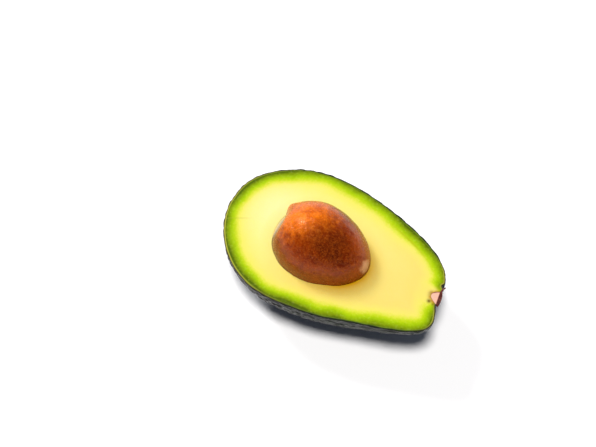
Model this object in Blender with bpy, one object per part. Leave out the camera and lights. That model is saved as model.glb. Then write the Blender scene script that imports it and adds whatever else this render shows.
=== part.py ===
# Half an avocado with its seed, lying on its back with the cut face up.
# Four pieces: the pebbled skin, the flesh, the seed in its hollow and the halved stub of the stem.
# Metres, +Z up. +X runs along the fruit from its broad base to the stem, and the part's origin is the
# bottom centre of its box. The shapes are worked out on the cut plane, z = 0, and an empty lifts them.

import math
import random

import bmesh
import bpy
from mathutils import Vector, kdtree

MM = 0.001

# Lines of the fruit's outside, in millimetres, from the stem's end round to the base at equal steps of
# the angle about the long axis: distance along the fruit, then distance from the axis. The left and
# right lines lie in the cut plane (+Y is left), and the keel line runs along the back below it.
STEM_END = 51.4
BASE_END = -53.2
LEFT_LINE = (
    (49.3, 11.0), (37.9, 21.6), (18.0, 28.9), (-2.5, 32.9), (-21.1, 32.8), (-38.0, 26.4), (-50.8, 13.2),
)
RIGHT_LINE = (
    (52.9, 13.0), (33.8, 23.6), (13.8, 29.8), (-0.4, 33.0), (-16.0, 34.2), (-34.6, 29.2), (-49.6, 13.4),
)
KEEL_LINE = (
    (48.8, 11.4), (37.2, 20.8), (18.0, 28.6), (-1.0, 31.9), (-18.5, 31.0), (-36.5, 25.2), (-50.2, 13.0),
)

SKIN_THICKNESS = 0.95 * MM
GAP = 0.3 * MM

# Relief of the skin: pebbles spread evenly over the whole fruit, with furrows between them. Their
# spacing is an angle seen from the fruit's middle, so they are longer along the fruit than across.
PEBBLES = 760
PEBBLE_SPACING = math.sqrt(4.0 * math.pi / PEBBLES)
PEBBLE_SCATTER = 0.34
PEBBLE_HEIGHT = 0.8 * MM
FURROW_DEPTH = 0.3 * MM
PEBBLE_LEAST = 0.5
FURROW_WIDTH = 0.5
RELIEF_SEED = 11
GOLDEN_ANGLE = math.pi * (3.0 - math.sqrt(5.0))

# The dimple that the stem stands in, which runs further down the end than across, and the stub of the
# stem, which widens outwards.
DIMPLE_DEPTH = 1.3 * MM
DIMPLE_RADIUS = 5.0 * MM
DIMPLE_STRETCH = 2.0
STEM_Y = 1.5 * MM
STUB_INNER_X = 46.9 * MM
STUB_OUTER_X = 51.2 * MM
STUB_INNER_RADIUS = 1.4 * MM
STUB_OUTER_RADIUS = 3.8 * MM
STUB_SIDES = 28
STUB_BEVEL = 0.5 * MM
POCKET_REACH = 6.0 * MM  # how far the stub's pocket runs on past its outer end, out of the skin

# The seed, an egg with its blunt end towards the fruit's base.
SEED_CENTRE = Vector((-5.8, -1.5, 0.8)) * MM
SEED_HALF_SIZE = Vector((23.1, 18.0, 19.7)) * MM
SEED_TAPER = 0.14
SEED_TILT = math.radians(-2.0)
HOLLOW_GROWTH = 0.65 * MM
HOLLOW_SHIFT = Vector((-0.3, 0.1, 0.0)) * MM

# The flat spot that the half lies on, and the band round it where the relief fades out.
FLAT_DEPTH = 31.35 * MM
FADE_HEIGHT = 0.9 * MM

# How many squares each side of the ball has that a shape is made from (even, so that a row of corners
# lies on the cut plane). Surfaces that face each other have the same number, which keeps their gap even.
SKIN_SQUARES = 38
FLESH_SQUARES = 14
SEED_SQUARES = 12

# Shading turns sharp past this angle, lengths under NOTHING count as none, and corners this near to a
# plane count as on it.
SHARP_ANGLE = math.radians(40.0)
NOTHING = 1e-9
ON_PLANE = 1e-6


def series(values, even):
    """Weights of the cosines (or of the sines) whose sum runs through the values at equal angles."""
    steps = len(values) - 1
    weights = []
    for order in range(steps + 1):
        wave = math.cos if even else math.sin
        total = 0.0
        for place, value in enumerate(values):
            share = 0.5 if even and place in (0, steps) else 1.0
            total += share * value * wave(order * math.pi * place / steps)
        weight = 2.0 / steps * total
        if even and order in (0, steps):
            weight *= 0.5
        weights.append(weight)
    return weights


def line_curve(points):
    """The smooth line through the points: a function from the angle to its two distances, in metres."""
    along = series([STEM_END] + [point[0] for point in points] + [BASE_END], even=True)
    across = series([0.0] + [point[1] for point in points] + [0.0], even=False)

    def curve(angle):
        x = sum(weight * math.cos(order * angle) for order, weight in enumerate(along))
        r = sum(weight * math.sin(order * angle) for order, weight in enumerate(across))
        return x * MM, r * MM

    return curve


left_curve = line_curve(LEFT_LINE)
right_curve = line_curve(RIGHT_LINE)
keel_curve = line_curve(KEEL_LINE)


def mix(a, b, share):
    return a + (b - a) * share


def smooth_step(low, high, value):
    share = min(max((value - low) / (high - low), 0.0), 1.0)
    return share * share * (3.0 - 2.0 * share)


def fruit_point(direction):
    """The point of the fruit's smooth outside that lies in a direction from its middle."""
    angle = math.acos(min(max(direction.x, -1.0), 1.0))
    ring = math.hypot(direction.y, direction.z)
    if ring < NOTHING:
        sideways, upward = 0.0, 0.0
    else:
        sideways, upward = direction.y / ring, direction.z / ring
    leftness = 0.5 + 0.5 * sideways
    left_x, left_r = left_curve(angle)
    right_x, right_r = right_curve(angle)
    keel_x, keel_r = keel_curve(angle)
    side_x = mix(right_x, left_x, leftness)
    side_r = mix(right_r, left_r, leftness)
    x = mix(keel_x, side_x, sideways * sideways)
    y = side_r * sideways
    z = keel_r * upward
    if direction.x > 0.0:
        off_stem = math.hypot(y - STEM_Y, z / DIMPLE_STRETCH) / DIMPLE_RADIUS
        x -= DIMPLE_DEPTH * math.exp(-off_stem * off_stem)
    return Vector((x, y, z))


def spread_pebbles():
    """The directions of the pebbles' middles, on a spiral round the fruit and each moved a little."""
    draw = random.Random(RELIEF_SEED)
    tree = kdtree.KDTree(PEBBLES)
    heights = []
    for number in range(PEBBLES):
        x = 1.0 - 2.0 * (number + 0.5) / PEBBLES
        ring = math.sqrt(1.0 - x * x)
        turn = number * GOLDEN_ANGLE
        shift = Vector([draw.uniform(-1.0, 1.0) for axis in range(3)]) * PEBBLE_SCATTER * PEBBLE_SPACING
        tree.insert((Vector((x, ring * math.cos(turn), ring * math.sin(turn))) + shift).normalized(), number)
        heights.append(draw.uniform(PEBBLE_LEAST, 1.0))
    tree.balance()
    return tree, heights


def pebble(direction, tree, heights):
    """Height of the skin's relief, from 0 in the furrows to 1 on the highest pebbles."""
    nearest, second = tree.find_n(direction, 2)
    from_furrow = (second[2] - nearest[2]) / PEBBLE_SPACING
    return smooth_step(0.0, FURROW_WIDTH, from_furrow) * heights[nearest[1]]


def unit_ball(squares):
    """A ball of radius 1 made from a cube, so that its faces are of like size."""
    ball = bmesh.new()
    bmesh.ops.create_cube(ball, size=2.0)
    bmesh.ops.subdivide_edges(ball, edges=ball.edges[:], cuts=squares - 1, use_grid_fill=True)
    bmesh.ops.triangulate(ball, faces=ball.faces[:], quad_method="FIXED")
    for vertex in ball.verts:
        bulged = [math.tan(round(value, 6) * math.pi / 4.0) for value in vertex.co]
        vertex.co = Vector(bulged).normalized()
    return ball


def fruit_body(squares, inset, relief=False):
    """The whole fruit, its outside moved in by a distance, with or without the pebbles."""
    body = unit_ball(squares)
    directions = [vertex.co.copy() for vertex in body.verts]
    for vertex, direction in zip(body.verts, directions):
        vertex.co = fruit_point(direction)
    body.normal_update()
    normals = [vertex.normal.copy() for vertex in body.verts]
    tree, heights = spread_pebbles()
    for vertex, direction, normal in zip(body.verts, directions, normals):
        rise = -inset
        if relief:
            fade = smooth_step(-FLAT_DEPTH, -FLAT_DEPTH + FADE_HEIGHT, vertex.co.z)
            rise += fade * (PEBBLE_HEIGHT * pebble(direction, tree, heights) - FURROW_DEPTH)
        on_cut = abs(vertex.co.z) < NOTHING
        vertex.co += normal * rise
        if on_cut:
            vertex.co.z = 0.0
    return body


def halve(body):
    """Cut the fruit through at z = 0 and keep the lower half, closed by the cut face."""
    everything = body.verts[:] + body.edges[:] + body.faces[:]
    bmesh.ops.bisect_plane(
        body, geom=everything, dist=ON_PLANE, plane_co=(0, 0, 0), plane_no=(0, 0, 1), clear_outer=True
    )
    rim = [edge for edge in body.edges if edge.is_boundary]
    bmesh.ops.contextual_create(body, geom=rim)
    bmesh.ops.recalc_face_normals(body, faces=body.faces[:])


def seed_body(growth, shift):
    """The seed's egg shape, or with some growth the hollow that it sits in."""
    body = unit_ball(SEED_SQUARES)
    half_size = SEED_HALF_SIZE + Vector((growth, growth, growth))
    for vertex in body.verts:
        taper = 1.0 - SEED_TAPER * vertex.co.x
        x = half_size.x * vertex.co.x
        y = half_size.y * vertex.co.y * taper
        z = half_size.z * vertex.co.z * taper
        turned_x = x * math.cos(SEED_TILT) - y * math.sin(SEED_TILT)
        turned_y = x * math.sin(SEED_TILT) + y * math.cos(SEED_TILT)
        vertex.co = Vector((turned_x, turned_y, z)) + SEED_CENTRE + shift
    bmesh.ops.recalc_face_normals(body, faces=body.faces[:])
    return body


def stem_cone(inner_x, outer_x, inner_radius, outer_radius):
    """A round plug along X, thicker at its outer end."""
    cone = bmesh.new()
    bmesh.ops.create_cone(
        cone,
        cap_ends=True,
        segments=STUB_SIDES,
        radius1=inner_radius,
        radius2=outer_radius,
        depth=outer_x - inner_x,
    )
    for vertex in cone.verts:
        vertex.co = Vector(((inner_x + outer_x) / 2.0 + vertex.co.z, STEM_Y + vertex.co.x, vertex.co.y))
    cone.normal_update()
    return cone


def material(name, colour, roughness):
    made = bpy.data.materials.new(name)
    made.use_nodes = True
    shader = made.node_tree.nodes["Principled BSDF"]
    shader.inputs["Base Color"].default_value = (*colour, 1.0)
    shader.inputs["Roughness"].default_value = roughness
    shader.inputs["Metallic"].default_value = 0.0
    return made


def make_object(name, body, collection, parent, finish=None):
    mesh = bpy.data.meshes.new(name)
    body.to_mesh(mesh)
    body.free()
    made = bpy.data.objects.new(name, mesh)
    collection.objects.link(made)
    made.parent = parent
    if finish:
        mesh.materials.append(finish)
        mesh.shade_smooth()
        mesh.set_sharp_from_angle(angle=SHARP_ANGLE)
    return made


def make_cutter(name, body, collection, parent):
    cutter = make_object(name, body, collection, parent)
    cutter.hide_render = True
    cutter.display_type = "WIRE"
    return cutter


def cut(target, cutter):
    hollow = target.modifiers.new(cutter.name, "BOOLEAN")
    hollow.operation = "DIFFERENCE"
    hollow.solver = "EXACT"
    hollow.object = cutter


def make_skin(parts, cutters, frame):
    """The rind: pebbled outside, smooth inside, with a flat spot below and a hole for the stem."""
    body = fruit_body(SKIN_SQUARES, 0.0, relief=True)
    for vertex in body.verts:
        vertex.co.z = max(vertex.co.z, -FLAT_DEPTH)
    halve(body)
    skin = make_object("skin", body, parts, frame, material("skin", (0.022, 0.03, 0.014), 0.38))
    inside = fruit_body(FLESH_SQUARES, SKIN_THICKNESS)
    cut(skin, make_cutter("skin_inside", inside, cutters, frame))
    return skin


def make_flesh(parts, cutters, frame):
    """The flesh, clear of the skin by the gap, with the seed's hollow in its cut face."""
    body = fruit_body(FLESH_SQUARES, SKIN_THICKNESS + GAP)
    halve(body)
    flesh = make_object("flesh", body, parts, frame, material("flesh", (0.83, 0.7, 0.2), 0.42))
    hollow = seed_body(HOLLOW_GROWTH, HOLLOW_SHIFT)
    cut(flesh, make_cutter("seed_hollow", hollow, cutters, frame))
    return flesh


def make_seed(parts, frame):
    body = seed_body(0.0, Vector())
    return make_object("seed", body, parts, frame, material("seed", (0.3, 0.075, 0.02), 0.4))


def make_stem(parts, cutters, frame, skin, flesh):
    """The halved stub of the stem, and the pocket for it through the skin into the flesh."""
    body = stem_cone(STUB_INNER_X, STUB_OUTER_X, STUB_INNER_RADIUS, STUB_OUTER_RADIUS)
    outer_rim = [
        edge for edge in body.edges
        if all(abs(vertex.co.x - STUB_OUTER_X) < ON_PLANE for vertex in edge.verts)
    ]
    bmesh.ops.bevel(body, geom=outer_rim, offset=STUB_BEVEL, segments=2, profile=0.5, affect="EDGES")
    halve(body)
    stem = make_object("stem", body, parts, frame, material("stem", (0.42, 0.17, 0.1), 0.6))
    slope = (STUB_OUTER_RADIUS - STUB_INNER_RADIUS) / (STUB_OUTER_X - STUB_INNER_X)
    pocket = stem_cone(
        STUB_INNER_X - GAP,
        STUB_OUTER_X + POCKET_REACH,
        STUB_INNER_RADIUS + GAP,
        STUB_OUTER_RADIUS + GAP + slope * POCKET_REACH,
    )
    cutter = make_cutter("stem_pocket", pocket, cutters, frame)
    cut(skin, cutter)
    cut(flesh, cutter)
    return stem


def corners(pieces):
    """Lowest and highest corner of the pieces' own meshes."""
    points = [vertex.co for piece in pieces for vertex in piece.data.vertices]
    low = Vector([min(point[axis] for point in points) for axis in range(3)])
    high = Vector([max(point[axis] for point in points) for axis in range(3)])
    return low, high


def main():
    for old in list(bpy.data.objects):
        bpy.data.objects.remove(old, do_unlink=True)
    scene_root = bpy.context.scene.collection
    parts = bpy.data.collections.new("avocado half")
    cutters = bpy.data.collections.new("cutters")
    scene_root.children.link(parts)
    scene_root.children.link(cutters)
    frame = bpy.data.objects.new("cut_plane", None)
    parts.objects.link(frame)

    skin = make_skin(parts, cutters, frame)
    flesh = make_flesh(parts, cutters, frame)
    seed = make_seed(parts, frame)
    make_stem(parts, cutters, frame, skin, flesh)

    low, high = corners([skin, seed])
    frame.location = (-(low.x + high.x) / 2.0, -(low.y + high.y) / 2.0, -low.z)


main()
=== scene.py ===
# Half an avocado with its seed, lying on its back with the cut face up, on a pale floor in soft light.
import math
import random

import bmesh
import bpy
import numpy as np
from mathutils import Matrix, Vector, kdtree, noise


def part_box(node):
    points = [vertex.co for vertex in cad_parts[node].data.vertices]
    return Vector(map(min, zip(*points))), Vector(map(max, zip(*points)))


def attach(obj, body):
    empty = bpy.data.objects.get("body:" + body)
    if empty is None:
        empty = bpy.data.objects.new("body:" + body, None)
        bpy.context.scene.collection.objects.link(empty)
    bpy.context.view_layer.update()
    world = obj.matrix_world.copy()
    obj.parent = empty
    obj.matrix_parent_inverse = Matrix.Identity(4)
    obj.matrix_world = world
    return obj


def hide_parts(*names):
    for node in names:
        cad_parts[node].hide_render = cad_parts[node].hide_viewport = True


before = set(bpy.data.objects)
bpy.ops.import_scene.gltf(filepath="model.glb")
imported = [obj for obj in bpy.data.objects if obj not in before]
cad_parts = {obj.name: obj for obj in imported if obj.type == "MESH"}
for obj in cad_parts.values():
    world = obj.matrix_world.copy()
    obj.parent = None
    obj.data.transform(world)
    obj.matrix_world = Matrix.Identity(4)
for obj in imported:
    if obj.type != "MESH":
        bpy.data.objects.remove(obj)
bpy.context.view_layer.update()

mm = 0.001

# The fruit's outside, as lines from the stem's end round to the base in eight equal steps of a half turn:
# millimetres along the fruit, then from its long axis. Left and right lie in the cut plane, and the keel
# runs along the back. +X points to the stem, +Y to the left, and the cut plane is z = 0.
fruit = {
    "stemEnd": 51.4,
    "baseEnd": -53.2,
    "left": (
        (49.3, 11.0), (37.9, 21.6), (18.0, 28.9), (-2.5, 32.9), (-21.1, 32.8), (-38.0, 26.4), (-50.8, 13.2),
    ),
    "right": (
        (52.9, 13.0), (33.8, 23.6), (13.8, 29.8), (-0.4, 33.0), (-16.0, 34.2), (-34.6, 29.2), (-49.6, 13.4),
    ),
    "keel": (
        (48.8, 11.4), (37.2, 20.8), (18.0, 28.6), (-1.0, 31.9), (-18.5, 31.0), (-36.5, 25.2), (-50.2, 13.0),
    ),
    "dimpleDepth": 1.3,         # the stem stands in this dimple
    "dimpleRadius": 5.0,
    "dimpleStretch": 2.0,
    "stemY": 1.5,
    "stubStart": 46.9,          # how far along the root of the stem's stub lies
    "notchY": 7.6,              # a nick in the rim beside the stem
    "notchDepth": 1.2,
    "notchRadius": 1.0,
    "flatDepth": 31.35,         # how far below the cut plane the flat spot lies
    "rindThickness": 0.95,
}

# Where the middle of the cut plane lies in the frame: worked out from the stem's and the flesh's solids.
stemLow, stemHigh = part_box("stem")
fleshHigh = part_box("flesh")[1]
origin = np.array([
    stemLow.x - fruit["stubStart"] * mm,
    (stemLow.y + stemHigh.y) / 2 - fruit["stemY"] * mm,
    fleshHigh.z,
])


def waveWeights(values, wave):
    # weights of the cosines (or sines) whose sum runs through the values at equal angles
    steps = len(values) - 1
    places = np.arange(steps + 1) * math.pi / steps
    share = np.ones(steps + 1)
    if wave is np.cos:
        share[[0, -1]] = 0.5
    sums = [2 / steps * np.sum(share * values * wave(order * places)) for order in range(steps + 1)]
    return share * sums


def lineCurve(points):
    along = waveWeights([fruit["stemEnd"], *[point[0] for point in points], fruit["baseEnd"]], np.cos)
    across = waveWeights([0, *[point[1] for point in points], 0], np.sin)
    orders = np.arange(len(along))

    def curve(angles):
        turns = np.outer(angles, orders)
        return np.cos(turns) @ along, np.sin(turns) @ across

    return curve


leftCurve = lineCurve(fruit["left"])
rightCurve = lineCurve(fruit["right"])
keelCurve = lineCurve(fruit["keel"])


def mix(a, b, share):
    return a + (b - a) * share


def smoothStep(low, high, value):
    share = np.clip((value - low) / (high - low), 0, 1)
    return share * share * (3 - 2 * share)


def bell(distance, width):
    return np.exp(-(distance / width) ** 2)


def unit(vectors):
    return vectors / np.linalg.norm(vectors, axis=1)[:, None]


def fruitPoints(directions):
    # points of the fruit's smooth outside that lie in the given directions from its middle
    angles = np.arccos(np.clip(directions[:, 0], -1, 1))
    ring = np.maximum(np.hypot(directions[:, 1], directions[:, 2]), 1e-9)
    sideways = directions[:, 1] / ring
    upward = directions[:, 2] / ring
    leftness = 0.5 + 0.5 * sideways
    leftX, leftR = leftCurve(angles)
    rightX, rightR = rightCurve(angles)
    keelX, keelR = keelCurve(angles)
    x = mix(keelX, mix(rightX, leftX, leftness), sideways ** 2)
    y = mix(rightR, leftR, leftness) * sideways
    z = keelR * upward
    offStem = np.hypot(y - fruit["stemY"], z / fruit["dimpleStretch"])
    dimple = fruit["dimpleDepth"] * bell(offStem, fruit["dimpleRadius"])
    dimple += fruit["notchDepth"] * bell(np.hypot(y - fruit["notchY"], z), fruit["notchRadius"])
    return np.stack([x - np.where(directions[:, 0] > 0, dimple, 0), y, z], axis=1)


def fruitNormals(directions):
    step = 0.01
    helper = np.where(np.abs(directions[:, :1]) > 0.9, [[0, 1, 0]], [[1, 0, 0]])
    sideA = unit(np.cross(directions, helper))
    sideB = np.cross(directions, sideA)
    slopeA = fruitPoints(unit(directions + sideA * step)) - fruitPoints(unit(directions - sideA * step))
    slopeB = fruitPoints(unit(directions + sideB * step)) - fruitPoints(unit(directions - sideB * step))
    return unit(np.cross(slopeA, slopeB))


def fruitShell(directions, rise):
    # the outside moved out by a distance (or in, if it is negative), with the rim kept on the cut plane
    points = fruitPoints(directions) + fruitNormals(directions) * np.reshape(rise, (-1, 1))
    points[np.abs(directions[:, 2]) < 1e-7, 2] = 0
    return points


def latitudeRings(latitudes, spokes):
    # directions round the fruit's middle, one ring for each angle below the cut plane
    turn = np.arange(spokes) * 2 * math.pi / spokes
    rings = []
    for latitude in latitudes:
        flat = math.cos(latitude)
        down = np.full(spokes, -math.sin(latitude))
        rings.append(np.stack([flat * np.cos(turn), flat * np.sin(turn), down], axis=1))
    return rings


def cubeBall(squares, lowerHalf=False):
    # a ball made from a cube, so that its faces are of like size: directions, faces and the rim's corners
    ball = bmesh.new()
    bmesh.ops.create_cube(ball, size=2.0)
    bmesh.ops.subdivide_edges(ball, edges=ball.edges[:], cuts=squares - 1, use_grid_fill=True)
    if lowerHalf:
        bmesh.ops.delete(ball, geom=[vertex for vertex in ball.verts if vertex.co.z > 1e-4], context="VERTS")
    ball.verts.index_update()
    corners = np.array([vertex.co for vertex in ball.verts])
    faces = [tuple(vertex.index for vertex in face.verts) for face in ball.faces]
    rim = [vertex.index for vertex in ball.verts if vertex.is_boundary]
    ball.free()
    directions = unit(np.tan(np.round(corners, 6) * math.pi / 4))
    rim.sort(key=lambda index: math.atan2(directions[index, 1], directions[index, 0]) % (2 * math.pi))
    return directions, faces, rim


def ringFaces(ringA, ringB):
    count = len(ringA)
    return [(ringA[i], ringA[(i + 1) % count], ringB[(i + 1) % count], ringB[i]) for i in range(count)]


def fanFaces(ring, middle):
    count = len(ring)
    return [(ring[i], ring[(i + 1) % count], middle) for i in range(count)]


def tubeFaces(numbers, firstMiddle, lastMiddle):
    # the skin of a closed body made of rings, with a middle corner at each of its two ends
    faces = fanFaces(numbers[0], firstMiddle)
    for ringA, ringB in zip(numbers, numbers[1:]):
        faces += ringFaces(ringA, ringB)
    return faces + fanFaces(numbers[-1], lastMiddle)


def ringNumbers(first, count, spokes):
    return [list(range(first + ring * spokes, first + (ring + 1) * spokes)) for ring in range(count)]


def addPiece(name, points, faces, node, materials, faceMaterials=None, values={}):
    # points are in millimetres from the middle of the cut plane
    mesh = bpy.data.meshes.new(name)
    mesh.from_pydata((np.asarray(points) * mm + origin).tolist(), [], faces)
    for material in materials:
        mesh.materials.append(material)
    if faceMaterials is not None:
        mesh.polygons.foreach_set("material_index", faceMaterials)
    for label, numbers in values.items():
        layer = mesh.attributes.new(label, "FLOAT", "POINT")
        layer.data.foreach_set("value", np.asarray(numbers, np.float32))
    tidy = bmesh.new()
    tidy.from_mesh(mesh)
    bmesh.ops.recalc_face_normals(tidy, faces=tidy.faces[:])
    tidy.to_mesh(mesh)
    tidy.free()
    mesh.shade_smooth()
    mesh.set_sharp_from_angle(angle=math.radians(60))
    piece = bpy.data.objects.new(name, mesh)
    bpy.context.scene.collection.objects.link(piece)
    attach(piece, "root")
    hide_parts(node)
    return piece


# Helpers for the materials
def srgb(colour):
    # a hex colour as the linear values that Blender takes
    linear = []
    for start in (1, 3, 5):
        share = int(colour[start:start + 2], 16) / 255
        linear.append(share / 12.92 if share <= 0.04045 else ((share + 0.055) / 1.055) ** 2.4)
    return linear + [1.0]


def perFeature(size):
    # scale of a pattern whose features are this many millimetres across
    return 1 / (size * mm)


def addNode(tree, kind, settings={}, links={}, output=None):
    # adds a node, sets its sockets or properties, links its inputs, and returns the output that is named
    node = tree.nodes.new(kind)
    sockets = {socket.identifier: socket for socket in node.inputs}
    for name, value in settings.items():
        if name == "stops":
            while len(node.color_ramp.elements) < len(value):
                node.color_ramp.elements.new(1.0)
            for element, (place, colour) in zip(node.color_ramp.elements, value):
                element.position = place
                element.color = srgb(colour)
        elif name in sockets:
            sockets[name].default_value = value
        else:
            setattr(node, name, value)
    for name, source in links.items():
        tree.links.new(source, sockets[name])
    if output:
        return next(socket for socket in node.outputs if socket.identifier == output)
    return None


def newMaterial(name):
    material = bpy.data.materials.new(name)
    material.use_nodes = True
    tree = material.node_tree
    tree.nodes.clear()
    place = addNode(tree, "ShaderNodeTexCoord", output="Object")
    return material, tree, place


def finishMaterial(tree, settings, links):
    surface = addNode(tree, "ShaderNodeBsdfPrincipled", settings, links, "BSDF")
    addNode(tree, "ShaderNodeOutputMaterial", {}, {"Surface": surface})


def mixColours(tree, share, colourA, colourB):
    # colours are hex values or sockets, and the share is a number or a socket
    settings = {"data_type": "RGBA", "blend_type": "MIX", "clamp_result": False}
    links = {}
    for name, value in (("Factor_Float", share), ("A_Color", colourA), ("B_Color", colourB)):
        if isinstance(value, str):
            settings[name] = srgb(value)
        elif isinstance(value, (int, float)):
            settings[name] = value
        else:
            links[name] = value
    return addNode(tree, "ShaderNodeMix", settings, links, "Result_Color")


def calculate(tree, operation, *values):
    settings = {"operation": operation}
    links = {}
    for name, value in zip(("Value", "Value_001", "Value_002"), values):
        if isinstance(value, (int, float)):
            settings[name] = value
        else:
            links[name] = value
    return addNode(tree, "ShaderNodeMath", settings, links, "Value")


def remap(tree, value, low, high, toLow=0.0, toHigh=1.0):
    settings = {"From Min": low, "From Max": high, "To Min": toLow, "To Max": toHigh}
    return addNode(tree, "ShaderNodeMapRange", settings, {"Value": value}, "Result")


def times(tree, valueA, valueB):
    return calculate(tree, "MULTIPLY", valueA, valueB)


def plus(tree, valueA, valueB):
    return calculate(tree, "ADD", valueA, valueB)


def attribute(tree, name):
    # a value that the mesh holds at each of its corners
    return addNode(tree, "ShaderNodeAttribute", {"attribute_name": name}, output="Fac")


def noiseField(tree, place, size, settings, output="Fac"):
    # a noise pattern whose features are this many millimetres across
    settings = {"Scale": perFeature(size), **settings}
    return addNode(tree, "ShaderNodeTexNoise", settings, {"Vector": place}, output)


def colourRamp(tree, stops, value):
    return addNode(tree, "ShaderNodeValToRGB", {"stops": stops}, {"Fac": value}, "Color")


def bumpNormal(tree, height, strength, depth):
    # small relief in the shading only, this many millimetres deep
    settings = {"Strength": strength, "Distance": depth * mm}
    return addNode(tree, "ShaderNodeBump", settings, {"Height": height}, "Normal")


def vectorMath(tree, operation, vector, constant, output="Vector"):
    settings = {"operation": operation, "Vector_001": tuple(constant)}
    return addNode(tree, "ShaderNodeVectorMath", settings, {"Vector": vector}, output)


# The rind's relief: pebbles spread evenly over the whole fruit with furrows between them, and smaller,
# longer ones on top. Spacings are angles seen from the fruit's middle.
rind = {
    "squares": 150,             # along each side of the ball that the outside is made from
    "pebbles": 760,
    "pebbleScatter": 0.34,
    "pebbleLeast": 0.5,
    "pebbleFurrow": 0.5,
    "pebbleHeight": 0.55,
    "furrowDepth": 0.32,
    "pebbleSeed": 11,
    "wrinkles": 3000,
    "wrinkleScatter": 0.45,
    "wrinkleLeast": 0.35,
    "wrinkleFurrow": 0.42,
    "wrinkleHeight": 0.3,
    "wrinkleStretch": 0.66,     # below 1 makes them longer along the fruit
    "wrinkleInFurrow": 0.35,    # share of their height that is left in the furrows
    "wrinkleSeed": 5,
    "fadeHeight": 0.9,          # the relief fades out this far above the flat spot
    "rimRelief": 0.5,           # share of the relief that is left at the rim, where the knife pressed it
    "rimReach": 5.0,
    "edgeRounding": 0.12,
    "cutShares": (0.3, 0.55, 0.8, 1.0),     # rings over the cut edge, from outside in
    "innerRings": 16,
    "greenAt": 30,              # from this far along it turns from green to purple-brown
    "brownAt": -45,
    # where the cut edge shows its pale layer: degrees round the rim from the stem, spread and strength
    "paleEdges": ((200, 42, 1.0), (12, 9, 0.8), (352, 8, 0.7)),
}
goldenAngle = math.pi * (3 - math.sqrt(5))


def spreadPebbles(directions, count, scatter, least, furrow, seed, stretch=1.0):
    # height of one field of pebbles in each direction, from 0 in the furrows to 1 on the highest
    draw = random.Random(seed)
    spacing = math.sqrt(4 * math.pi / count)
    tree = kdtree.KDTree(count)
    heights = []
    for number in range(count):
        x = 1 - 2 * (number + 0.5) / count
        ring = math.sqrt(1 - x * x)
        turn = number * goldenAngle
        shift = Vector([draw.uniform(-1, 1) for axis in range(3)]) * scatter * spacing
        middle = (Vector((x, ring * math.cos(turn), ring * math.sin(turn))) + shift).normalized()
        tree.insert((middle.x * stretch, middle.y, middle.z), number)
        heights.append(draw.uniform(least, 1))
    tree.balance()
    fromFurrow = np.zeros(len(directions))
    height = np.zeros(len(directions))
    for place, (x, y, z) in enumerate(directions.tolist()):
        nearest, second = tree.find_n((x * stretch, y, z), 2)
        fromFurrow[place] = (second[2] - nearest[2]) / spacing
        height[place] = heights[nearest[1]]
    return smoothStep(0, furrow, fromFurrow) * height


def aroundBell(points, middle, width):
    # bright near one angle round the rim, in degrees from the stem's side
    off = (np.degrees(np.arctan2(points[:, 1], points[:, 0])) - middle + 180) % 360 - 180
    return bell(off, width)


def rindOutsideMaterial():
    # Avocado rind: a tough pebbled peel with a natural wax, so it is nearly black, dark green near the stem
    # and purple-brown at the base, with a soft gloss on each pebble and painted shade in the furrows
    material, tree, place = newMaterial("avocadoRind")
    clouds = noiseField(tree, place, 22, {"Detail": 4.0, "Roughness": 0.6})
    ripe = remap(tree, plus(tree, times(tree, clouds, 0.9), attribute(tree, "ripeness")), 0.3, 0.75)
    tops = mixColours(tree, ripe, "#12240a", "#160e0f")
    # painted shade: the furrows between the pebbles are coloured darker than the pebbles' tops
    furrows = mixColours(tree, ripe, "#050a01", "#060304")
    colour = mixColours(tree, remap(tree, attribute(tree, "relief"), 0.05, 0.6), furrows, tops)
    cells = {"feature": "F1", "Scale": perFeature(1.8), "Randomness": 1.0}
    freckles = addNode(tree, "ShaderNodeTexVoronoi", cells, {"Vector": place}, "Distance")
    freckle = remap(tree, freckles, 0.16, 0.1)
    colour = mixColours(tree, times(tree, freckle, 0.3), colour, "#56602e")
    grain = noiseField(tree, place, 0.7, {"Detail": 3.0})
    rough = remap(tree, clouds, 0.3, 0.7, 0.27, 0.42)
    gloss = {"IOR": 1.45, "Specular IOR Level": 0.22}
    relief = bumpNormal(tree, grain, 0.5, 0.25)
    finishMaterial(tree, gloss, {"Base Color": colour, "Roughness": rough, "Normal": relief})
    return material


def rindCutMaterial():
    # Cut rind: a thin dark line outside and a pale, woody, yellow-green layer within
    material, tree, place = newMaterial("cutRind")
    waver = noiseField(tree, place, 5, {"Detail": 3.0})
    depth = plus(tree, attribute(tree, "fromFlesh"), remap(tree, waver, 0.3, 0.7, -0.18, 0.18))
    paleStops = ((0.0, "#8f9a1c"), (0.25, "#a9a83c"), (0.5, "#8c8530"), (0.72, "#4a4416"), (0.95, "#22260c"))
    darkStops = ((0.0, "#6f8614"), (0.22, "#4d6110"), (0.45, "#2c3a0e"), (0.7, "#1c260b"), (1.0, "#12180a"))
    colourPale = colourRamp(tree, paleStops, depth)
    colourDark = colourRamp(tree, darkStops, depth)
    colour = mixColours(tree, attribute(tree, "pale"), colourDark, colourPale)
    finishMaterial(tree, {"Roughness": 0.5, "IOR": 1.42}, {"Base Color": colour})
    return material


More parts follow.
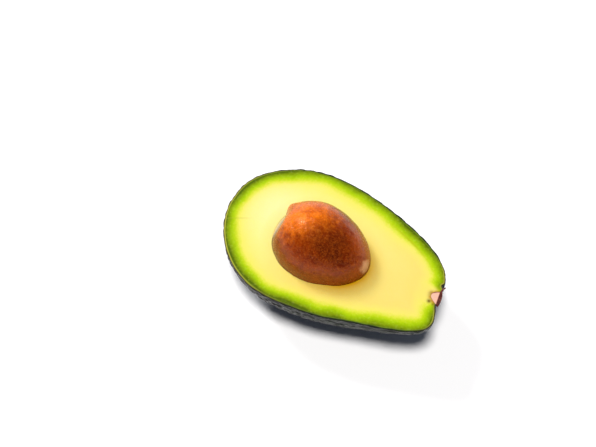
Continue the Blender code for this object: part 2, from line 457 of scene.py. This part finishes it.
def addRind():
    directions, faces, rim = cubeBall(rind["squares"], lowerHalf=True)
    spokes = len(rim)
    smooth = fruitPoints(directions)
    pebbles = spreadPebbles(
        directions, rind["pebbles"], rind["pebbleScatter"], rind["pebbleLeast"], rind["pebbleFurrow"],
        rind["pebbleSeed"],
    )
    wrinkles = spreadPebbles(
        directions, rind["wrinkles"], rind["wrinkleScatter"], rind["wrinkleLeast"], rind["wrinkleFurrow"],
        rind["wrinkleSeed"], rind["wrinkleStretch"],
    )
    fade = smoothStep(-fruit["flatDepth"], -fruit["flatDepth"] + rind["fadeHeight"], smooth[:, 2])
    wrinkles = wrinkles * mix(rind["wrinkleInFurrow"], 1.0, pebbles)
    relief = rind["pebbleHeight"] * pebbles + rind["wrinkleHeight"] * wrinkles
    fade = fade * mix(rind["rimRelief"], 1.0, smoothStep(0, -rind["rimReach"], smooth[:, 2]))
    outside = fruitShell(directions, fade * (relief - rind["furrowDepth"]))
    outside[:, 2] = np.maximum(outside[:, 2], -fruit["flatDepth"])
    rimOut = outside[rim].copy()
    outside[rim, 2] = -rind["edgeRounding"]

    # the cut edge: rings from the outside in, then the inner face down to its middle
    rimDirections = directions[rim]
    rimIn = fruitShell(rimDirections, -fruit["rindThickness"])
    width = np.linalg.norm(rimOut - rimIn, axis=1)[:, None]
    shares = (rind["edgeRounding"] / width, *rind["cutShares"])
    cutRings = [mix(rimOut, rimIn, share) for share in shares]
    latitudes = [math.pi / 2 * ring / rind["innerRings"] for ring in range(1, rind["innerRings"])]
    innerRings = [fruitShell(ring, -fruit["rindThickness"]) for ring in latitudeRings(latitudes, spokes)]
    bottom = fruitShell(np.array([[0.0, 0.0, -1.0]]), -fruit["rindThickness"])
    points = np.concatenate([outside, *cutRings, *innerRings, bottom])

    numbers = [rim] + ringNumbers(len(outside), len(cutRings) + len(innerRings), spokes)
    outsideCount = len(faces)
    for ringA, ringB in zip(numbers, numbers[1:]):
        faces += ringFaces(ringA, ringB)
    faces += fanFaces(numbers[-1], len(points) - 1)
    faceMaterials = np.zeros(len(faces), np.int32)
    faceMaterials[outsideCount + spokes:] = 1

    fromFlesh = np.zeros(len(points))
    for ring, share in enumerate(shares):
        fromFlesh[numbers[ring + 1]] = width[:, 0] * (1 - np.ravel(share))
    reliefShare = np.zeros(len(points))
    reliefShare[:len(outside)] = relief * fade / (rind["pebbleHeight"] + rind["wrinkleHeight"])
    ripeness = smoothStep(rind["greenAt"], rind["brownAt"], points[:, 0] - 0.5 * points[:, 1])
    pale = np.zeros(len(points))
    for middle, spread, strength in rind["paleEdges"]:
        pale = np.maximum(pale, strength * aroundBell(points, middle, spread))
    values = {"relief": reliefShare, "fromFlesh": fromFlesh, "ripeness": ripeness, "pale": pale}
    materials = [rindOutsideMaterial(), rindCutMaterial()]
    piece = addPiece("rind", points, faces, "skin", materials, faceMaterials, values)
    print("rind made:", len(points), "corners")
    return piece


seed = {
    "centre": (-5.8, -1.5, 0.8),
    "halfSize": (23.1, 18.0, 19.7),
    "taper": 0.14,
    "tilt": math.radians(-2),
    "squares": 88,
    "lumpHeight": 0.22,
    "lumpSize": 9.0,
    "veinHeight": 0.06,
    "veinSize": 2.2,
    "veinWarp": 2.4,
    "flatTowards": (-0.97, 0.0, 0.24),      # the seed has a flat place on this side, cut this deep
    "flatDepth": 2.3,
    "flatSoftness": 0.8,
    "cornerTowards": (-0.9, 0.3, 0.32),     # and a corner of torn coat stands up beside it
    "cornerHeight": 1.6,
    "cornerWidth": 0.19,
    "chipTowards": (0.96, -0.02, 0.25),     # the coat is worn through here and the pale seed shows
    "chipWidth": 0.26,
    "chipRagged": 0.06,
    "chipStrength": 0.85,
    "tornStrength": 0.4,                    # how pale the tip of the torn corner is
    "raggedSize": 2.2,
    # painted light where the coat is brightest, painted shade where it is darkest,
    # and where it is light and reddish: the direction, how far off it the mark begins and is full,
    # and how ragged its border is
    "marks": {
        "orange": ((-0.6, 0.26, 0.72), 1.0, 0.35, 0.2),
        "dark": ((0.33, -0.29, 0.9), 0.8, 0.1, 0.15),
        "red": ((0.78, 0.5, 0.35), 0.75, 0.15, 0.15),
    },
}


def seedPoints(directions, growth):
    # the seed's egg, its blunt end towards the fruit's base, grown by a distance
    growth = np.reshape(growth, (-1, 1))
    taper = 1 - seed["taper"] * directions[:, :1]
    egg = directions * (np.array(seed["halfSize"]) + growth)
    egg[:, 1:] *= taper
    turned = Matrix.Rotation(seed["tilt"], 3, "Z")
    return egg @ np.array(turned).T + np.array(seed["centre"])


def flattened(points, share=1.0):
    # presses the side of the egg flat, softly at its border
    towards = unit(np.array([seed["flatTowards"]]))[0]
    reach = np.max(seedPoints(unit(np.array([seed["flatTowards"]])), 0) @ towards)
    over = points @ towards - (reach - seed["flatDepth"])
    pressed = 0.5 * (over + np.sqrt(over ** 2 + seed["flatSoftness"] ** 2))
    return points - np.outer(pressed * share, towards)


def seedMaterial():
    # Seed coat: a dry papery skin over the hard seed, so it is brown with fine lighter fibres that swirl
    # over it, painted brighter and orange on the side the key light falls on, painted darker in a shade
    # across its top, and has a soft gloss like polished leather
    material, tree, place = newMaterial("seedCoat")
    orange = attribute(tree, "orange")
    swirl = noiseField(tree, place, 9, {"Detail": 2.0}, "Color")
    bend = (9 * mm, 9 * mm, 9 * mm)
    moved = addNode(
        tree, "ShaderNodeVectorMath", {"operation": "MULTIPLY_ADD", "Vector_001": bend},
        {"Vector": swirl, "Vector_002": place}, "Vector",
    )
    clouds = noiseField(tree, moved, 6, {"Detail": 5.0, "Roughness": 0.62})
    patches = remap(tree, clouds, 0.34, 0.66)
    brown = mixColours(tree, patches, "#6e1800", "#963600")
    # painted light: the coat is brighter and more orange on the side that faces the key light
    bright = mixColours(tree, patches, "#cc5200", "#f67c0a")
    colour = mixColours(tree, orange, brown, bright)
    colour = mixColours(tree, times(tree, attribute(tree, "red"), 0.75), colour, "#c0581a")
    # painted shade: the coat is darker across its top
    shade = times(tree, attribute(tree, "dark"), remap(tree, clouds, 0.3, 0.7, 0.95, 0.55))
    colour = mixColours(tree, shade, colour, "#420f02")
    # the fibres are painted brighter on the lit side too
    lit = mixColours(tree, orange, "#b45814", "#fa8c30")
    fibres = noiseField(tree, moved, 2.4, {"Detail": 3.0, "Roughness": 0.55, "Distortion": 2.2})
    away = calculate(tree, "ABSOLUTE", calculate(tree, "SUBTRACT", fibres, 0.5))
    fibre = remap(tree, away, 0.045, 0.0)
    colour = mixColours(tree, times(tree, fibre, 0.46), colour, lit)
    colour = mixColours(tree, times(tree, attribute(tree, "vein"), 0.3), colour, lit)
    fine = noiseField(tree, moved, 1.1, {"Detail": 3.0, "Roughness": 0.6})
    colour = mixColours(tree, remap(tree, fine, 0.56, 0.36, 0.0, 0.26), colour, "#4d1402")
    colour = mixColours(tree, attribute(tree, "bare"), colour, "#e0a67c")
    relief = bumpNormal(tree, plus(tree, times(tree, fibre, 0.5), fine), 0.3, 0.25)
    rough = remap(tree, fine, 0.3, 0.7, 0.18, 0.3)
    settings = {
        "IOR": 1.45, "Specular IOR Level": 0.85, "Specular Tint": srgb("#ffb488"),
        "Subsurface Weight": 0.06, "Subsurface Radius": (1.0, 0.35, 0.12), "Subsurface Scale": 1.2 * mm,
    }
    finishMaterial(tree, settings, {"Base Color": colour, "Roughness": rough, "Normal": relief})
    return material


def warpedVein(point, size, warp):
    # bright where a bent noise field crosses its middle value, which draws thin swirling lines
    place = Vector(point) / size
    bent = place + noise.noise_vector(place * 0.45) * warp
    return 1 - min(abs(noise.fractal(bent, 1.0, 2.0, 3)) * 6, 1)


def awayFrom(directions, towards):
    return np.linalg.norm(directions - unit(np.array([towards])), axis=1)


def seedRelief(directions):
    # the coat's gentle lumps and fine veins: how far they stand out, and the veins alone
    base = seedPoints(directions, 0)
    lumps = np.array([noise.fractal(Vector(point) / seed["lumpSize"], 1.0, 2.0, 3) for point in base])
    veins = np.array([warpedVein(point, seed["veinSize"], seed["veinWarp"]) for point in base])
    return lumps * seed["lumpHeight"] + veins * seed["veinHeight"], veins


def addSeed():
    directions, faces, _ = cubeBall(seed["squares"])
    base = seedPoints(directions, 0)
    ragged = np.array([noise.fractal(Vector(point) / seed["raggedSize"], 1.0, 2.0, 3) for point in base])
    relief, veins = seedRelief(directions)
    fromCorner = awayFrom(directions, seed["cornerTowards"])
    corner = seed["cornerHeight"] * bell(fromCorner, seed["cornerWidth"])
    outward = unit(np.array([seed["cornerTowards"]]) / np.array(seed["halfSize"]))
    points = flattened(seedPoints(directions, relief)) + corner[:, None] * outward
    chip = awayFrom(directions, seed["chipTowards"]) + seed["chipRagged"] * ragged
    bare = seed["chipStrength"] * smoothStep(seed["chipWidth"], 0.3 * seed["chipWidth"], chip)
    tip = bell(fromCorner, 0.6 * seed["cornerWidth"])
    bare = np.maximum(bare, seed["tornStrength"] * tip * (1 + ragged))
    values = {"vein": veins, "bare": bare}
    for name, (towards, begins, full, uneven) in seed["marks"].items():
        values[name] = smoothStep(begins, full, awayFrom(directions, towards) + uneven * ragged)
    piece = addPiece("seedWithCoat", points, faces, "seed", [seedMaterial()], values=values)
    print("seed made:", len(points), "corners")
    return piece


flesh = {
    "topRings": 64,
    "topCrowding": 1.15,        # above 1 the rings stand closer together at the rim
    "wallRings": 18,
    "wallCrowding": 1.6,        # and here at the lip of the hollow
    "undersideRings": 20,
    "rindGap": 0.02,            # between the underside and the rind
    "hollowGap": 0.08,          # between the seed and the flesh
    "lipDepth": 0.6,            # beside the seed's flat place, the flesh slopes down to it over this depth
    "lipIn": 0.12,              # share of the flat place's depth by which its edge lies in
    # painted light: the slope beside the seed's flat place is painted pale cream
    "ledgeReach": 7.5,          # how far from that place the slope is pale
    "ledgeDepths": (0.15, 2.0, 4.0),    # it is pale below the first depth, and fades between the others
    "waves": 0.07,
    "waveSize": 7.0,
    "rimFlat": 2.5,             # the waves start this far from the rim
    "lipFlat": 2.0,             # and this far from the lip
    "stemClearing": 7.0,        # the green under the rind stops short of the stem
    "clearingX": 48.0,
    "clearingWidth": 4.6,
    # where the green reaches further in: degrees round the rim from the stem, spread, how much and how far
    "wideGreen": ((168, 16, 0.9, 4), (-105, 28, 0.7, 2)),
    # brown marks beside the stem: a place, a radius and a strength
    "stains": (
        (47.25, -1.65, 0.9, 0.95), (46.3, 2.0, 1.2, 0.3), (48.2, 6.1, 1.5, 0.4), (49.4, -2.3, 0.7, 0.5),
    ),
    "goldWidth": 1.1,           # a golden edge round the stub
    # partly the flesh's own warmer tone and partly painted shade, darker away from the light
    "coolAt": -30,              # the yellow turns warmer from here towards the stem
    "warmAt": 35,
    "bandDepth": 4.4,           # a green line this far inside the rim, on one side
    "bandWidth": 0.5,
    "bandMiddle": 38,
    "bandSpread": 14,
    # partly the flesh's own paler tone and partly painted light: the cut face is paler around this place
    "paleToneAndLightAt": (-33, 6),         # a pale patch on the cut face
    "paleToneAndLightRadius": 13,
    "paleToneAndLightStrength": 0.55,
    "paleToneAndLightDepths": (5, 8),       # it starts and is full this far inside the rim
    # painted shadow: a thin grey line at the lip of the hollow
    "lipShadowMiddle": 172,        # a thin grey line follows the lip on this side, in degrees from the stem's
    "lipShadowSpread": 18,
    # painted shadow that the seed casts on the flesh, deepest yellow on this side of the seed
    "seedShadowTowards": math.radians(-24),    # the flesh is deepest yellow on this side of the seed
    "seedShadowSpread": 0.9,
    "seedShadowLayers": ((0.65, 5.0), (0.35, 1.6)),    # strengths, each with its reach from the lip
    "knifeStart": (-48.35, -7.93),      # a faint line that the knife left
    "knifeEnd": (-39.7, -3.15),
    "knifeWidths": (0.1, 0.35),         # it is full within the first distance and gone at the second
}


def fleshMaterial():
    # Avocado flesh: soft, moist and oily, cut with a knife, so it is pale yellow in the middle and green
    # under the rind, light goes a little way into it, and it has a soft wet gloss
    material, tree, place = newMaterial("cutFlesh")
    fromSeed = attribute(tree, "fromSeed")
    wide = noiseField(tree, place, 14, {"Detail": 2.0})
    fine = noiseField(tree, place, 1.2, {"Detail": 4.0, "Roughness": 0.65})
    depth = plus(tree, attribute(tree, "fromRind"), remap(tree, wide, 0.3, 0.7, -0.9, 0.9))
    depth = plus(tree, depth, remap(tree, fine, 0.3, 0.7, -0.35, 0.35))

    # from green under the rind to yellow, by millimetres of depth
    reach = 16.0
    shades = (
        (0.0, "#4e6200"), (0.7, "#708402"), (1.8, "#84a000"), (3.0, "#9cba02"), (4.0, "#b2c616"),
        (5.0, "#ccd03c"), (6.4, "#dcd65e"), (10.0, "#e1d874"), (15.5, "#e3dc84"),
    )
    stops = [(at / reach, shade) for at, shade in shades]
    colour = colourRamp(tree, stops, calculate(tree, "DIVIDE", depth, reach))

    # the marks on it
    inside = remap(tree, depth, 5.0, 10.0)
    warm = times(tree, attribute(tree, "warm"), inside)
    # deeper yellow next to the seed: partly the flesh's own tone, partly painted shade around the seed
    nearSeedToneAndShade = times(tree, remap(tree, fromSeed, 6.0, 0.0), inside)
    # painted shadow: thin, right at the lip of the hollow
    thin = remap(tree, fromSeed, 0.26, 0.06, 0.0, 0.45)
    uneven = remap(tree, fine, 0.3, 0.6, 0.5, 1.0)
    marks = (
        # paler patch: partly the flesh's own tone, partly painted light
        (attribute(tree, "pale"), "#e6e0a8"),
        # warmer, darker yellow: partly the flesh's own tone, partly painted shade
        (times(tree, warm, 0.75), "#e0c566"),
        (times(tree, nearSeedToneAndShade, 0.3), "#dcbc4a"),
        # painted shadow of the seed on the flesh
        (attribute(tree, "lee"), "#c08c00"),
        # painted light on the slope beside the seed's flat place
        (attribute(tree, "ledge"), "#f2ecc0"),
        # painted shadow line along the lip
        (times(tree, attribute(tree, "crease"), thin), "#8c8a52"),
        (times(tree, attribute(tree, "gold"), uneven), "#a8701c"),
        (remap(tree, fine, 0.55, 0.8, 0.0, 0.12), "#dcd59a"),
        (times(tree, attribute(tree, "band"), 0.5), "#a09c10"),
        (times(tree, knifeLine(tree, place), 0.35), "#a3a236"),
        (attribute(tree, "stain"), "#4a2c08"),
    )
    for share, shade in marks:
        colour = mixColours(tree, share, colour, shade)

    relief = bumpNormal(tree, fine, 0.25, 0.2)
    rough = remap(tree, fine, 0.3, 0.7, 0.34, 0.46)
    settings = {
        "IOR": 1.36, "Specular IOR Level": 0.35, "Subsurface Weight": 0.25,
        "Subsurface Radius": (1.0, 0.75, 0.25), "Subsurface Scale": 2 * mm,
    }
    finishMaterial(tree, settings, {"Base Color": colour, "Roughness": rough, "Normal": relief})
    return material


def knifeLine(tree, place):
    # 1 on a straight hairline between two places on the cut face, fading towards its inner end
    start = np.array([*flesh["knifeStart"], 0]) * mm + origin
    end = np.array([*flesh["knifeEnd"], 0]) * mm + origin
    length = np.linalg.norm(end - start)
    along = (end - start) / length
    off = vectorMath(tree, "SUBTRACT", place, start)
    forward = vectorMath(tree, "DOT_PRODUCT", off, along, "Value")
    aside = vectorMath(tree, "DOT_PRODUCT", off, (-along[1], along[0], 0), "Value")
    full, gone = flesh["knifeWidths"]
    thin = remap(tree, calculate(tree, "ABSOLUTE", aside), gone * mm, full * mm)
    return times(tree, thin, remap(tree, forward, length, 0.5 * length))


def hollowPoints(directions, depth):
    # the hollow's wall follows the seed, but slopes up from its flat place to a lip on the cut plane
    points = seedPoints(directions, seedRelief(directions)[0] + flesh["hollowGap"])
    return flattened(points, mix(flesh["lipIn"], 1.0, smoothStep(0, flesh["lipDepth"], depth)))


def fleshRings(spokes):
    # the flesh's surface as rings: its underside from below, the rim, the cut face and the hollow's wall
    steps = flesh["undersideRings"]
    latitudes = [math.pi / 2 * (1 - ring / steps) for ring in range(1, steps)]
    inset = -fruit["rindThickness"] - flesh["rindGap"]
    underside = [fruitShell(ring, inset) for ring in latitudeRings(latitudes, spokes)]
    rim = fruitShell(latitudeRings([0.0], spokes)[0], -fruit["rindThickness"])
    startLatitude = math.asin(seed["centre"][2] / seed["halfSize"][2])
    wall = []
    for ring in range(flesh["wallRings"]):
        share = (ring / flesh["wallRings"]) ** flesh["wallCrowding"]
        latitude = mix(startLatitude, math.pi / 2, share)
        direction = latitudeRings([latitude], spokes)[0]
        depth = seed["halfSize"][2] * math.sin(latitude) - seed["centre"][2]
        wall.append(hollowPoints(direction, depth))
    lip = wall[0]
    lip[:, 2] = 0
    top = []
    for ring in range(1, flesh["topRings"]):
        points = mix(rim, lip, (ring / flesh["topRings"]) ** flesh["topCrowding"])
        for point in points:
            point[2] = flesh["waves"] * noise.fractal(Vector(point) / flesh["waveSize"], 1.0, 2.0, 2)
        nearRim = smoothStep(0, flesh["rimFlat"], np.linalg.norm(points - rim, axis=1))
        nearLip = smoothStep(0, flesh["lipFlat"], np.linalg.norm(points - lip, axis=1))
        points[:, 2] = points[:, 2] * nearRim * nearLip
        top.append(points)
    return underside, rim, top, wall


def nearestDistances(points, targets):
    tree = kdtree.KDTree(len(targets))
    for number, target in enumerate(targets.tolist()):
        tree.insert(target, number)
    tree.balance()
    return np.array([tree.find(point)[2] for point in points.tolist()])


def seedLip(points):
    # 1 on the sloping lip beside the seed's flat place
    towards = seedPoints(unit(np.array([seed["flatTowards"]])), 0)[0]
    near = bell(np.hypot(points[:, 0] - towards[0], points[:, 1] - towards[1]), flesh["ledgeReach"])
    full, fades, gone = flesh["ledgeDepths"]
    return near * smoothStep(0.0, -full, points[:, 2]) * smoothStep(-gone, -fades, points[:, 2])


def fleshValues(points, undersideCount, outer, lip):
    # what the material needs at each corner: distances in millimetres, and the strength of each mark
    x, y, z = points.T
    fromRind = nearestDistances(points, outer)
    fromRind[:undersideCount] = 0
    offStem = np.hypot(x - flesh["clearingX"], y - fruit["stemY"])
    fromRind += flesh["stemClearing"] * bell(offStem, flesh["clearingWidth"])
    fromRind -= sum(
        amount * aroundBell(points, middle, spread) * bell(fromRind, reach)
        for middle, spread, amount, reach in flesh["wideGreen"]
    )
    fromSeed = nearestDistances(points, lip)
    stain = np.zeros(len(points))
    for stainX, stainY, radius, strength in flesh["stains"]:
        stain = np.maximum(stain, strength * bell(np.hypot(x - stainX, y - stainY), radius))
    profile = np.array(stem["profile"])
    offStub = np.maximum(np.abs(y - fruit["stemY"]) - np.interp(x, profile[:, 0], profile[:, 2]), 0)
    beforeStub = np.maximum(fruit["stubStart"] - x, 0)
    # the pale patch is partly the flesh's own tone and partly painted light
    offPaleToneAndLight = np.hypot(x - flesh["paleToneAndLightAt"][0], y - flesh["paleToneAndLightAt"][1])
    turn = np.arctan2(y - seed["centre"][1], x - seed["centre"][0])
    values = {"fromRind": fromRind, "fromSeed": fromSeed, "stain": stain}
    values["gold"] = bell(np.hypot(offStub, beforeStub), flesh["goldWidth"]) * (z > -1)
    # warmer towards the stem: partly own tone, partly painted shade
    values["warm"] = smoothStep(flesh["coolAt"], flesh["warmAt"], x - 0.9 * y)
    values["band"] = bell(fromRind - flesh["bandDepth"], flesh["bandWidth"])
    values["band"] *= aroundBell(points, flesh["bandMiddle"], flesh["bandSpread"])
    values["pale"] = flesh["paleToneAndLightStrength"] * bell(offPaleToneAndLight, flesh["paleToneAndLightRadius"])
    values["pale"] *= smoothStep(*flesh["paleToneAndLightDepths"], fromRind)
    # painted shadow of the seed, on its lee side and close to it
    values["lee"] = bell(turn - flesh["seedShadowTowards"], flesh["seedShadowSpread"])
    values["lee"] *= sum(strength * bell(fromSeed, reach) for strength, reach in flesh["seedShadowLayers"])
    # painted shadow along the lip on one side
    values["crease"] = bell(np.degrees(turn) % 360 - flesh["lipShadowMiddle"], flesh["lipShadowSpread"])
    # painted light on the sloping lip beside the seed
    values["ledge"] = smoothStep(0.1, 0.7, seedLip(points))
    return values


def addFlesh():
    spokes = 4 * rind["squares"]
    underside, rim, top, wall = fleshRings(spokes)
    lowest = np.array([[0.0, 0.0, -1.0]])
    bottom = fruitShell(lowest, -fruit["rindThickness"] - flesh["rindGap"])
    hollowBottom = seedPoints(lowest, flesh["hollowGap"])
    rings = [*underside, rim, *top, *wall]
    points = np.concatenate([*rings, bottom, hollowBottom])
    faces = tubeFaces(ringNumbers(0, len(rings), spokes), len(points) - 2, len(points) - 1)
    outer = np.concatenate([*underside[-4:], rim])
    values = fleshValues(points, len(underside) * spokes, outer, wall[0])
    piece = addPiece("cutFlesh", points, faces, "flesh", [fleshMaterial()], values=values)
    print("flesh made:", len(points), "corners")
    return piece


stem = {
    "stations": 34,
    "sides": 40,
    "rise": 0.12,               # the cut face of the stub stands this far above the flesh
    "barkRelief": 0.16,
    "slant": 0.16,              # its ends lean, in millimetres along for each millimetre across
    # how far along, where its middle is and how thick it is, from its root to its corky end
    "profile": (
        (46.9, 1.5, 0.9), (47.5, 1.5, 1.5), (48.4, 1.5, 2.2), (49.4, 1.45, 2.8), (50.2, 1.4, 3.2),
        (50.5, 1.35, 3.5), (50.9, 1.3, 3.6), (51.3, 1.3, 3.3), (51.6, 1.3, 2.5), (51.8, 1.3, 1.2),
    ),
    "barkFrom": 50.25,          # past here it is corky bark, and so is its side
    "endFade": 0.3,             # the cut wood darkens over this distance towards its end
    "sideFade": 0.5,            # and this one towards its sides
    "curl": ((49.9, 4.6, -0.3), (50.1, 5.4, 0.1), (50.4, 6.2, 0.4), (50.8, 6.9, 0.6), (51.1, 7.4, 0.7)),
    "curlRadii": (0.45, 0.42, 0.36, 0.28, 0.12),
    "curlSides": 10,
}


def stemCutMaterial():
    # Fresh cut stem: soft pink-tan wood with fine fibres along it, dull and dry
    material, tree, place = newMaterial("cutStem")
    stretched = addNode(tree, "ShaderNodeMapping", {"Scale": (0.25, 1.0, 1.0)}, {"Vector": place}, "Vector")
    fibre = noiseField(tree, stretched, 0.5, {"Detail": 3.0})
    depth = plus(tree, attribute(tree, "fromBark"), remap(tree, fibre, 0.3, 0.7, -0.12, 0.12))
    stops = ((0.0, "#4a1c14"), (0.25, "#9c5a48"), (0.55, "#cf9880"), (1.0, "#dcae98"))
    links = {"Base Color": colourRamp(tree, stops, depth), "Normal": bumpNormal(tree, fibre, 0.4, 0.2)}
    finishMaterial(tree, {"Roughness": 0.6, "Subsurface Weight": 0.1, "Subsurface Scale": 1 * mm}, links)
    return material


def stemBarkMaterial():
    # Bark and scar of the stem: dark purple-brown cork, rough and dry
    material, tree, place = newMaterial("stemBark")
    crumbs = noiseField(tree, place, 0.8, {"Detail": 4.0, "Roughness": 0.7})
    stops = ((0.3, "#2c0a0a"), (0.5, "#5c2420"), (0.72, "#96584c"))
    links = {"Base Color": colourRamp(tree, stops, crumbs), "Normal": bumpNormal(tree, crumbs, 0.7, 0.3)}
    finishMaterial(tree, {"Roughness": 0.65}, links)
    return material


def huskCurl(first):
    # a thin dry curl of husk beside the stub: a tapered closed tube along its points
    path = np.array(stem["curl"])
    turn = np.arange(stem["curlSides"]) * 2 * math.pi / stem["curlSides"]
    along = unit(np.gradient(path, axis=0))
    rings = []
    for point, ahead, radius in zip(path, along, stem["curlRadii"]):
        sideways = np.cross(ahead, (0, 0, 1))
        sideways /= np.linalg.norm(sideways)
        circle = np.outer(np.cos(turn), sideways) + np.outer(np.sin(turn), np.cross(sideways, ahead))
        rings.append(point + radius * circle)
    points = np.concatenate([*rings, path[:1], path[-1:]])
    numbers = ringNumbers(first, len(rings), stem["curlSides"])
    return points, tubeFaces(numbers, first + len(points) - 2, first + len(points) - 1)


def stubRings(columns):
    # rings of the stub from its root to its corky end: half a circle below, closed by the flat cut face
    sides = stem["sides"]
    across = sides // 2
    section = [(-math.cos(math.pi * i / sides), -math.sin(math.pi * i / sides)) for i in range(sides + 1)]
    section += [(1 - 2 * i / across, 0.0) for i in range(1, across)]
    steps = np.linspace(0, 1, len(columns[0]))
    rings = []
    for station in range(stem["stations"] + 1):
        share = station / stem["stations"]
        x, middle, radius = (np.interp(share, steps, column) for column in columns)
        ring = []
        for sideways, down in section:
            rough = noise.noise(Vector((x * 0.7, sideways * 3.0, down * 3.0))) * stem["barkRelief"]
            grown = radius + (rough if down < 0 or abs(sideways) > 0.99 else 0)
            z = down * grown + stem["rise"]
            ring.append((x - sideways * grown * stem["slant"], middle + sideways * grown, z))
        rings.append(np.array(ring))
    return rings


def addStem():
    columns = np.array(stem["profile"]).T
    rings = stubRings(columns)
    points = np.concatenate([*rings, rings[0].mean(axis=0)[None], rings[-1].mean(axis=0)[None]])
    numbers = ringNumbers(0, len(rings), len(rings[0]))
    faces = tubeFaces(numbers, len(points) - 2, len(points) - 1)
    onTop = points[:, 2] > stem["rise"] - 0.01
    faceMaterials = [0 if all(onTop[corner] for corner in face) else 1 for face in faces]
    endMiddle = columns[1, -1]
    along = points[:, 0] + (points[:, 1] - endMiddle) * stem["slant"]
    reach = np.interp(along, columns[0], columns[2])
    fromSide = (reach - np.abs(points[:, 1] - endMiddle)) / stem["sideFade"]
    fromEnd = (stem["barkFrom"] - along) / stem["endFade"]
    fromBark = np.clip(np.minimum(fromSide, fromEnd), 0, 1)

    curlPoints, curlFaces = huskCurl(len(points))
    points = np.concatenate([points, curlPoints])
    faces += curlFaces
    faceMaterials = np.array(faceMaterials + [1] * len(curlFaces), np.int32)
    values = {"fromBark": np.concatenate([fromBark, np.zeros(len(curlPoints))])}
    materials = [stemCutMaterial(), stemBarkMaterial()]
    piece = addPiece("stemStub", points, faces, "stem", materials, faceMaterials, values)
    print("stem made:", len(points), "corners")
    return piece


# The view: the place in the image where the middle of the cut plane falls, and how the camera stands to it
camera = {
    "imageSize": (596, 447),
    "middleAt": (335.2, 250.9),
    "lens": 85.0,
    "sensor": 36.0,
    "elevation": math.radians(63),
    "turn": math.radians(28.9),
    "distance": 0.625,
    "clip": (0.01, 20),
}


def viewAxes():
    # the camera's right, up and view directions, as it looks down on the part
    right = Vector((math.cos(camera["turn"]), math.sin(camera["turn"]), 0))
    forward = Vector((-math.sin(camera["turn"]), math.cos(camera["turn"]), 0))
    up = Vector((0, 0, 1))
    view = forward * math.cos(camera["elevation"]) - up * math.sin(camera["elevation"])
    return right, right.cross(view), view, forward


def addCamera():
    right, up, view, _ = viewAxes()
    data = bpy.data.cameras.new("camera")
    data.lens = camera["lens"]
    data.sensor_width = camera["sensor"]
    data.clip_start, data.clip_end = camera["clip"]
    width, height = camera["imageSize"]
    focal = camera["lens"] / camera["sensor"] * width
    x = (camera["middleAt"][0] - width / 2) / focal
    y = (height / 2 - camera["middleAt"][1]) / focal
    ray = (right * x + up * y + view).normalized()
    looking = bpy.data.objects.new("camera", data)
    turned = Matrix((right, up, -view)).transposed().to_4x4()
    looking.matrix_world = Matrix.Translation(Vector(origin) - ray * camera["distance"]) @ turned
    bpy.context.scene.collection.objects.link(looking)
    bpy.context.scene.camera = looking


# Soft studio light from wide sources. Each one stands by how far it is to the right of the view, away from
# the camera and up, and its size is the angle that it fills as seen from the part.
light = {
    "top": {
        "stands": (-0.05, -0.16, 0.985), "size": math.radians(13), "strength": 3.25, "colour": "#fffdf9",
        "gloss": False,         # only the key is seen in the gloss
    },
    "key": {
        "stands": (-0.5, 0.54, 0.67), "size": math.radians(14), "strength": 1.5, "colour": "#ffffff",
        "gloss": True,
    },
    "world": 0.1,
    "worldColour": "#d6e2ff",
}


def addLight(name):
    right, _, _, forward = viewAxes()
    one = light[name]
    data = bpy.data.lights.new(name, "SUN")
    data.angle = one["size"]
    data.energy = one["strength"]
    data.color = srgb(one["colour"])[:3]
    lamp = bpy.data.objects.new(name, data)
    toRight, away, high = one["stands"]
    stands = right * toRight + forward * away + Vector((0, 0, high))
    lamp.location = Vector(origin) + stands
    lamp.rotation_mode = "QUATERNION"
    lamp.rotation_quaternion = (-stands).to_track_quat("-Z", "Y")
    lamp.visible_glossy = one["gloss"]
    bpy.context.scene.collection.objects.link(lamp)


def addWorld():
    world = bpy.data.worlds.new("studio")
    world.use_nodes = True
    background = world.node_tree.nodes["Background"]
    background.inputs["Color"].default_value = srgb(light["worldColour"])
    background.inputs["Strength"].default_value = light["world"]
    bpy.context.scene.world = world


floor = {
    "halfSize": 3.0,
    "colour": "#f4f4f6",
    "roughness": 0.9,
    "specular": 0.1,
}


def floorMaterial():
    # Backdrop paper: smooth, matt and very pale, with hardly any gloss
    material = bpy.data.materials.new("paperFloor")
    material.use_nodes = True
    inputs = material.node_tree.nodes["Principled BSDF"].inputs
    inputs["Base Color"].default_value = srgb(floor["colour"])
    inputs["Roughness"].default_value = floor["roughness"]
    inputs["Specular IOR Level"].default_value = floor["specular"]
    return material


def addFloor():
    half = floor["halfSize"]
    mesh = bpy.data.meshes.new("floor")
    corners = [(-half, -half, 0), (half, -half, 0), (half, half, 0), (-half, half, 0)]
    mesh.from_pydata(corners, [], [(0, 1, 2, 3)])
    mesh.materials.append(floorMaterial())
    sheet = bpy.data.objects.new("floor", mesh)
    bpy.context.scene.collection.objects.link(sheet)


addCamera()
addLight("top")
addLight("key")
addWorld()
addFloor()
bpy.context.scene.view_settings.view_transform = "Standard"
print("camera, lights and floor made")
addRind()
addFlesh()
addSeed()
addStem()
